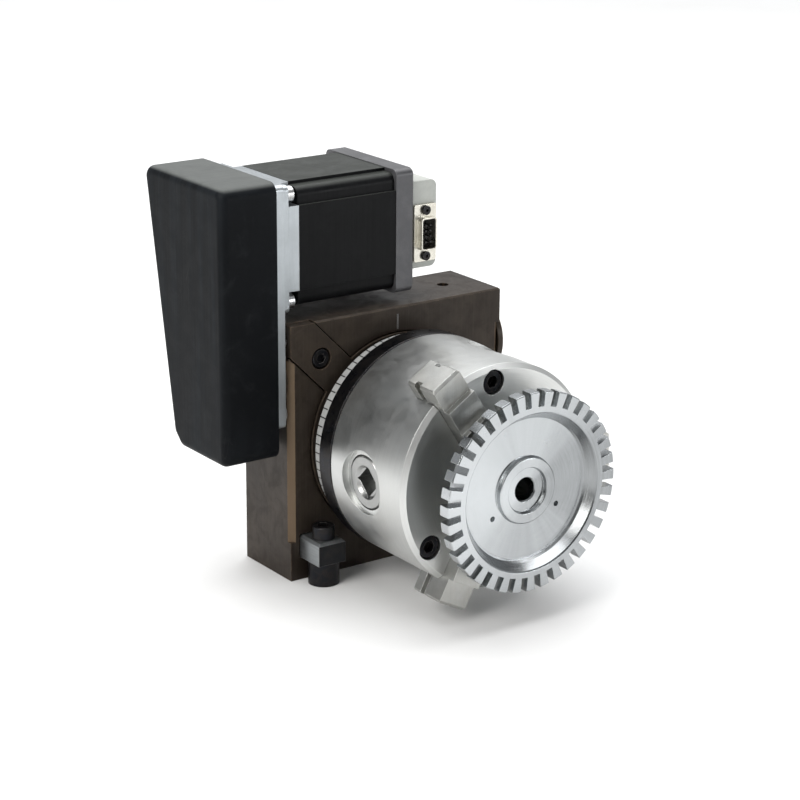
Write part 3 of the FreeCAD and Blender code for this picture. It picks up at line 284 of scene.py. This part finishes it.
def black_plastic():
    """Moulded black cover: fine grain, faint upright shading, dust and a few rubs; upward faces are mixed much
    lighter as dust together with painted top light.
    """
    k = Mat("black_cover")
    x, y, z = k.sep()
    nrm, edge = k.round(0.6)
    grain = k.voronoi(k.mm, 1.7, "SMOOTH_F1")
    grain2 = k.noise(k.mm, 3.2, 2.0, 0.6)
    upright = k.noise(k.comb(k.math("MULTIPLY", x, 0.02), k.math("MULTIPLY", y, 0.13), k.math("MULTIPLY", z, 0.006)), 1.0, 3.0, 0.6)
    dust = k.noise(k.mm, 0.09, 6.0, 0.68, 0.5)
    rub = k.ramp(k.voronoi(k.vscale(k.mm, (0.3, 0.26, 0.045)), 1.0, "DISTANCE_TO_EDGE"), 0.0, 0.010, 1.0, 0.0)
    rub = k.math("MULTIPLY", rub, k.ramp(k.noise(k.mm, 0.05, 3.0), 0.54, 0.62))
    col = k.mix(k.ramp(dust, 0.5, 0.78), rgb(0.0042, 0.0050, 0.0062), rgb(0.0110, 0.0122, 0.0138))
    col = k.mix(k.ramp(upright, 0.42, 0.68, 0.0, 0.8), col, rgb(0.0130, 0.0155, 0.0185))
    col = k.mix(k.math("MULTIPLY", rub, 0.3), col, rgb(0.032, 0.032, 0.033))
    col = k.mix(k.math("MULTIPLY", edge, 0.35), col, rgb(0.020, 0.021, 0.022))
    g = k.t.nodes.new("ShaderNodeTexCoord")
    nx, ny, nz = k.sep(g.outputs["Normal"])
    # painted top light, partly dust: upward faces are mixed towards a light grey, broken up by the dust noise
    up = k.math("MULTIPLY", k.ramp(nz, 0.6, 0.98), k.ramp(dust, 0.2, 0.7, 0.75, 1.0))
    col = k.mix(up, col, rgb(0.125, 0.132, 0.128))
    k.set("Base Color", col)
    k.set("Specular IOR Level", 0.07)
    k.set("Roughness", k.math("ADD", k.ramp(dust, 0.35, 0.75, 0.42, 0.56), k.ramp(upright, 0.3, 0.7, -0.05, 0.06)))
    h = k.math("ADD", k.math("MULTIPLY", grain, 0.5), k.math("MULTIPLY", grain2, 0.35))
    k.set("Normal", k.bump(upright, 0.10, 0.0016, k.bump(h, 0.20, 0.00012, nrm)))
    return k.m


def light_alloy(name, base, rough):
    """Cast and machined light alloy with short upright brush lines and small pits."""
    k = Mat(name)
    nrm, edge = k.round(0.35)
    line = k.noise(k.vscale(k.mm, (3.0, 3.0, 0.10)), 1.0, 3.0, 0.65)
    cloud = k.noise(k.mm, 0.07, 5.0, 0.6)
    fine = k.noise(k.mm, 2.2, 3.0, 0.6)
    pits = k.ramp(k.voronoi(k.mm, 0.55), 0.0, 0.11, 1.0, 0.0)
    pits = k.math("MULTIPLY", pits, k.ramp(k.noise(k.mm, 0.2, 2.0), 0.54, 0.6))
    col = k.mix(k.ramp(cloud, 0.3, 0.7), base, tuple(c * 0.84 for c in base))
    col = k.mix(k.ramp(line, 0.4, 0.75, 0.0, 0.3), col, tuple(c * 0.72 for c in base))
    col = k.mix(k.math("MULTIPLY", pits, 0.55), col, tuple(c * 0.25 for c in base))
    col = k.mix(k.math("MULTIPLY", edge, 0.55), col, tuple(min(1.0, c * 1.3) for c in base))
    k.set("Base Color", col)
    k.set("Metallic", 0.92)
    k.set("Roughness", k.ramp(fine, 0.3, 0.7, rough - 0.05, rough + 0.08))
    h = k.math("ADD", k.math("MULTIPLY", line, 0.6), k.math("SUBTRACT", k.math("MULTIPLY", fine, 0.3), k.math("MULTIPLY", pits, 1.2)))
    k.set("Normal", k.bump(h, 0.20, 0.00006, nrm))
    return k.m


def motor_black():
    """Painted stack of thin sheets, seen as fine lines across the motor."""
    k = Mat("motor_black")
    x, y, z = k.sep()
    nrm, edge = k.round(0.4)
    wob = k.noise(k.vscale(k.mm, (0.2, 0.6, 0.6)), 1.0, 2.0)
    ph = k.math("ADD", k.math("MULTIPLY", x, 2 * math.pi / 0.65), k.math("MULTIPLY", wob, 1.5))
    sheet = k.math("MULTIPLY_ADD", k.math("SINE", ph), 0.5, 0.5)
    each = k.noise(k.comb(k.math("MULTIPLY", x, 1.5), k.math("MULTIPLY", y, 0.02), k.math("MULTIPLY", z, 0.02)), 1.0, 2.0, 0.7)
    orange = k.noise(k.mm, 0.8, 3.0, 0.5)
    dust = k.noise(k.mm, 0.08, 5.0, 0.65, 0.4)
    col = k.mix(k.ramp(dust, 0.45, 0.75), rgb(0.0044, 0.0047, 0.0052), rgb(0.0090, 0.0094, 0.0100))
    col = k.mix(k.ramp(each, 0.3, 0.7, 0.0, 0.5), col, rgb(0.0090, 0.0092, 0.0100))
    col = k.mix(k.math("MULTIPLY", edge, 0.4), col, rgb(0.035, 0.035, 0.036))
    g = k.t.nodes.new("ShaderNodeTexCoord")
    nx, ny, nz = k.sep(g.outputs["Normal"])
    # painted top light: upward faces are mixed towards a lighter grey
    col = k.mix(k.math("MULTIPLY", k.ramp(nz, 0.6, 0.98), 0.6), col, rgb(0.055, 0.060, 0.054))
    k.set("Base Color", col)
    k.set("Specular IOR Level", 0.09)
    k.set("Roughness", k.ramp(dust, 0.3, 0.75, 0.30, 0.48))
    h = k.math("ADD", k.math("MULTIPLY", sheet, 0.7), k.math("MULTIPLY", each, 0.8))
    k.set("Normal", k.bump(h, 0.25, 0.00007, k.bump(orange, 0.10, 0.0002, nrm)))
    return k.m


def painted(name, base, hi, rough, metallic=0.0, grain=1.2, rb=0.35):
    """Plain satin paint or moulding with a soft grain and rubbed edges."""
    k = Mat(name)
    nrm, edge = k.round(rb)
    g = k.noise(k.mm, grain, 3.0, 0.6)
    d = k.noise(k.mm, 0.1, 5.0, 0.65, 0.3)
    s = k.ramp(k.noise(k.mm, 2.6, 2.0), 0.62, 0.72)
    col = k.mix(k.ramp(d, 0.35, 0.75), base, hi)
    col = k.mix(k.math("MULTIPLY", s, 0.2), col, tuple(c * 0.5 for c in base))
    col = k.mix(k.math("MULTIPLY", edge, 0.5), col, tuple(min(1.0, c * 1.8 + 0.03) for c in hi))
    k.set("Base Color", col)
    k.set("Metallic", metallic)
    k.set("Roughness", k.ramp(d, 0.3, 0.75, rough - 0.05, rough + 0.10))
    k.set("Normal", k.bump(g, 0.14, 0.00015, nrm))
    return k.m


def black_oxide(name, turned=False, rough=0.36):
    """Black oxide on steel: a blue-brown shimmer, lighter where it is rubbed."""
    k = Mat(name)
    nrm, edge = k.round(0.25)
    a = k.noise(k.mm, 0.25, 4.0, 0.6, 0.5)
    f = k.noise(k.mm, 2.5, 3.0, 0.6)
    col = k.mix(k.ramp(a, 0.35, 0.7), rgb(0.016, 0.017, 0.021), rgb(0.030, 0.027, 0.026))
    col = k.mix(k.ramp(f, 0.55, 0.75, 0.0, 0.4), col, rgb(0.050, 0.046, 0.043))
    worn = k.math("MULTIPLY", edge, k.ramp(f, 0.35, 0.6, 0.25, 0.9))
    col = k.mix(worn, col, rgb(0.22, 0.21, 0.20))
    k.set("Base Color", col)
    k.set("Metallic", 0.85)
    k.set("Roughness", k.ramp(a, 0.3, 0.75, rough - 0.06, rough + 0.10))
    if turned:
        r, al, ang, tan = k.around()
        ring = k.rings(r, al, ang, 3.5)
        k.set("Anisotropic", 0.4)
        k.set("Tangent", tan)
        k.set("Normal", k.bump(ring, 0.25, 0.00005, nrm))
    else:
        k.set("Normal", k.bump(f, 0.15, 0.00006, nrm))
    return k.m


def scale_ring():
    """Satin ring; the engraved graduations are filled black."""
    k = Mat("scale_ring_satin")
    r, al, ang, tan = k.around()
    nrm, edge = k.round(0.25)
    ring = k.rings(r, al, ang, 4.0)
    blot = k.noise(k.mm, 0.08, 5.0, 0.6)
    base, dark = rgb(0.62, 0.63, 0.625), rgb(0.46, 0.465, 0.46)
    col = k.mix(k.ramp(blot, 0.3, 0.7, 0.0, 0.6), base, dark)
    col = k.mix(k.ramp(ring, 0.35, 0.7, 0.0, 0.35), col, rgb(0.42, 0.42, 0.41))
    deep = k.math("MULTIPLY", k.math("LESS_THAN", r, 46.38), k.math("GREATER_THAN", r, 45.6))
    inside = k.math("MULTIPLY", k.math("GREATER_THAN", al, -30.7), k.math("LESS_THAN", al, -22.56))
    ink = k.math("MULTIPLY", deep, inside)
    ink = k.math("MULTIPLY", ink, k.ramp(k.noise(k.mm, 1.2, 3.0), 0.15, 0.3, 0.75, 1.0))
    col = k.mix(ink, col, rgb(0.012, 0.012, 0.013))
    k.set("Base Color", col)
    k.set("Metallic", k.lerp(ink, 0.35, 0.0))
    k.set("Roughness", k.lerp(ink, k.ramp(blot, 0.3, 0.7, 0.34, 0.46), 0.6))
    k.set("Anisotropic", 0.3)
    k.set("Tangent", tan)
    k.set("Normal", k.bump(ring, 0.14, 0.00004, nrm))
    return k.m


def rubber():
    k = Mat("belt_rubber")
    x, y, z = k.sep()
    nrm, edge = k.round(0.2)
    weave = k.noise(k.vscale(k.mm, (6.0, 1.0, 1.0)), 1.0, 3.0, 0.6)
    dust = k.noise(k.mm, 0.3, 4.0, 0.6)
    col = k.mix(k.ramp(dust, 0.4, 0.75), rgb(0.012, 0.012, 0.012), rgb(0.04, 0.038, 0.036))
    k.set("Base Color", k.mix(k.ramp(weave, 0.4, 0.7, 0.0, 0.5), col, rgb(0.022, 0.021, 0.021)))
    k.set("Roughness", k.ramp(dust, 0.3, 0.7, 0.6, 0.85))
    k.set("Normal", k.bump(weave, 0.3, 0.00015, nrm))
    return k.m


MZ = 150.363
LOOK = {
    "brown": brown_steel(),
    "cover": black_plastic(),
    "alloy": light_alloy("plate_alloy", rgb(0.47, 0.50, 0.52), 0.38),
    "motor": motor_black(),
    "bell_dark": painted("rear_bell_grey", rgb(0.075, 0.075, 0.080), rgb(0.115, 0.115, 0.122), 0.42, 0.3),
    "box": painted("connector_grey", rgb(0.030, 0.032, 0.033), rgb(0.060, 0.064, 0.064), 0.42),
    "lid": painted("connector_lid_grey", rgb(0.44, 0.455, 0.425), rgb(0.53, 0.545, 0.51), 0.40, 0.0, 0.9, 0.5),
    "insert": painted("insert_black", rgb(0.012, 0.012, 0.013), rgb(0.024, 0.024, 0.025), 0.5, 0.0, 2.0, 0.15),
    "nickel": ground_flat("nickel_plate", rgb(0.70, 0.68, 0.61), 0.30, "z", 0.25, 0.5, 1.5),
    "zinc": ground_flat("zinc_plate", rgb(0.70, 0.71, 0.72), 0.28, "x", 0.25, 0.5, 1.5),
    "oxide": black_oxide("screw_black_oxide"),
    "oxide_ring": black_oxide("ring_black_oxide", True, 0.32),
    "scale": scale_ring(),
    "chuck": turned_metal("chuck_ground_steel", rgb(0.66, 0.67, 0.66), 0.36, 0.35, 4.5, 0.15),
    "spindle": turned_metal("spindle_steel", rgb(0.55, 0.55, 0.55), 0.26, 0.4, 4.0),
    "jaw": ground_flat("jaw_steel", rgb(0.50, 0.505, 0.49), 0.33, "z", 0.35, 0.6, 2.2),
    "pinion": turned_metal("pinion_steel", rgb(0.40, 0.405, 0.40), 0.30, 0.2, 2.0, 0.2),
    "disc": turned_metal("plate_bright_aluminium", rgb(0.62, 0.645, 0.66), 0.21, 0.70, 3.2, 0.12, rb=0.25, lines=0.35, painted_sheen_fan=(0.42, 0.85, math.radians(165))),
    "worm": turned_metal("worm_steel", rgb(0.55, 0.55, 0.55), 0.26, 0.3, 4.0, 0.3, 0.0, 91.5, "x"),
    "rotor": turned_metal("rotor_steel", rgb(0.52, 0.52, 0.52), 0.28, 0.3, 4.0, 0.3, 13.2, MZ, "x"),
    "pulley": light_alloy("pulley_alloy", rgb(0.62, 0.63, 0.64), 0.32),
    "bearing": turned_metal("bearing_steel", rgb(0.62, 0.62, 0.63), 0.14, 0.2, 6.0, 0.1, rb=0.2),
    "bronze": turned_metal("wheel_bronze", rgb(0.62, 0.40, 0.17), 0.28, 0.2, 3.0, 0.5),
    "clamp": clamp_steel(),
    "belt": rubber(),
    "mark": painted("index_mark_fill", rgb(0.085, 0.080, 0.078), rgb(0.13, 0.125, 0.12), 0.5),
}
USE = {
    "housing": "brown", "bearing_flange": "brown", "rear_cover": "brown", "worm_cap_left": "brown", "worm_cap_right": "brown",
    "index_mark": "mark", "belt_cover": "cover", "drive_plate": "alloy", "motor_front_bell": "alloy", "motor_stator": "motor",
    "motor_rear_bell": "bell_dark", "connector_box": "lid", "connector_insert": "insert", "connector_shell": "nickel",
    "connector_lid": "lid", "motor_screws": "zinc", "motor_rear_screws": "oxide",
    "scale_ring": "scale", "chuck_flange": "oxide_ring", "chuck_body": "chuck", "chuck_back_cover": "chuck", "spindle": "spindle",
    "scroll_plate": "spindle", "jaw_1": "jaw", "jaw_2": "jaw", "jaw_3": "jaw", "pinion_1": "pinion", "pinion_2": "pinion", "pinion_3": "pinion",
    "index_disc": "disc", "worm_shaft": "worm", "worm_bearing_inner_rings": "worm", "worm_bearing_outer_rings": "worm", "worm_bearing_balls": "bearing",
    "worm_pulley": "pulley", "motor_pulley": "pulley", "motor_rotor_shaft": "rotor", "timing_belt": "belt", "worm_wheel": "bronze",
    "front_bearing_outer_ring": "bearing", "front_bearing_inner_ring": "bearing", "front_bearing_balls": "bearing",
    "rear_bearing_outer_ring": "bearing", "rear_bearing_inner_ring": "bearing", "rear_bearing_balls": "bearing",
    "hold_down_clamp_left": "clamp", "hold_down_clamp_right": "clamp", "drive_plate_spacers": "worm",
}
for name, o in N.items():
    look = LOOK[USE.get(name, "oxide")]
    o.data.materials.clear()
    o.data.materials.append(look)

# ------------------------------------------------------------------ floor and backdrop
fl = Mat("pale_floor")
cl = fl.noise(fl.mm, 0.004, 4.0, 0.6)
gr = fl.noise(fl.mm, 0.6, 3.0, 0.6)
fl.set("Base Color", fl.mix(fl.ramp(cl, 0.3, 0.7), rgb(0.80, 0.80, 0.795), rgb(0.84, 0.84, 0.84)))
fl.set("Roughness", fl.ramp(gr, 0.3, 0.7, 0.55, 0.65))
fl.set("Specular IOR Level", 0.2)
fl.set("Normal", fl.bump(gr, 0.05, 0.0003))
bpy.ops.mesh.primitive_plane_add(size=14.0, location=(0, 0, -0.0001))
floor = bpy.context.object
floor.name = "floor"
floor.data.materials.append(fl.m)

# ------------------------------------------------------------------ light
world = bpy.data.worlds.new("studio")
bpy.context.scene.world = world
world.use_nodes = True
wt = world.node_tree
bg = wt.nodes["Background"]
tc = wt.nodes.new("ShaderNodeTexCoord")
sx = wt.nodes.new("ShaderNodeSeparateXYZ")
wt.links.new(tc.outputs["Generated"], sx.inputs[0])


def wmath(op, a, b, clamp=False):
    n = wt.nodes.new("ShaderNodeMath")
    n.operation = op
    n.use_clamp = clamp
    for i, q in enumerate((a, b)):
        if isinstance(q, bpy.types.NodeSocket):
            wt.links.new(q, n.inputs[i])
        else:
            n.inputs[i].default_value = q
    return n.outputs[0]


def wramp(v, lo, hi, x0, x1):
    n = wt.nodes.new("ShaderNodeMapRange")
    n.interpolation_type = "SMOOTHSTEP"
    wt.links.new(v, n.inputs["Value"])
    for key, q in (("From Min", lo), ("From Max", hi), ("To Min", x0), ("To Max", x1)):
        n.inputs[key].default_value = q
    return n.outputs[0]


rear = wmath("ADD", wmath("MULTIPLY", sx.outputs[0], 0.57), wmath("MULTIPLY", sx.outputs[1], 0.82))
low = wramp(rear, -0.5, 0.9, 0.10, 0.62)
high = wramp(sx.outputs[2], 0.35, 0.95, 0.0, 0.30)
wt.links.new(wmath("ADD", low, high), bg.inputs[1])
bg.inputs[0].default_value = (0.97, 0.985, 1.0, 1)



def area(name, loc, target, size, power, color=(1, 1, 1), size_y=None):
    d = bpy.data.lights.new(name, "AREA")
    d.energy = power
    d.color = color
    d.shape = "RECTANGLE"
    d.size = size
    d.size_y = size_y or size
    o = bpy.data.objects.new(name, d)
    bpy.context.scene.collection.objects.link(o)
    o.location = loc
    o.rotation_mode = "QUATERNION"
    o.rotation_quaternion = (Vector(target) - Vector(loc)).to_track_quat("-Z", "Y")
    return o


area("over", (0.35, 0.50, 1.9), (0.35, 0.50, 0.0), 2.4, 56.0)
area("left", (-1.15, -0.25, 0.85), (0, 0, 0.08), 0.8, 12.0, (1.0, 0.98, 0.95))
area("front", (0.72, -1.10, 0.30), (0, -0.1, 0.06), 0.35, 3.0, (0.97, 0.985, 1.0), 0.22)

# ------------------------------------------------------------------ camera, fitted to the photo
AZ, EL, ROLL = -35.25, 17.87, 0.35
CAM = (-0.5897, -0.8556, 0.4045)
F = 2400.0 / 800.0
a, el, ro = math.radians(AZ), math.radians(EL), math.radians(ROLL)
back = Vector((math.sin(a) * math.cos(el), -math.cos(a) * math.cos(el), math.sin(el)))
fwd = -back
right = fwd.cross(Vector((0, 0, 1))).normalized()
up = right.cross(fwd)
r2 = right * math.cos(ro) + up * math.sin(ro)
u2 = -right * math.sin(ro) + up * math.cos(ro)
cam = bpy.data.cameras.new("camera")
co = bpy.data.objects.new("camera", cam)
bpy.context.scene.collection.objects.link(co)
m3 = Matrix((r2, u2, back)).transposed()
co.matrix_world = Matrix.Translation(CAM) @ m3.to_4x4()
cam.sensor_width = 36.0
cam.lens = 36.0 * F
cam.clip_start, cam.clip_end = 0.05, 30.0
bpy.context.scene.camera = co
bpy.context.scene.view_settings.view_transform = "Standard"
bpy.context.scene.view_settings.look = "None"
bpy.context.scene.view_settings.exposure = 0.0
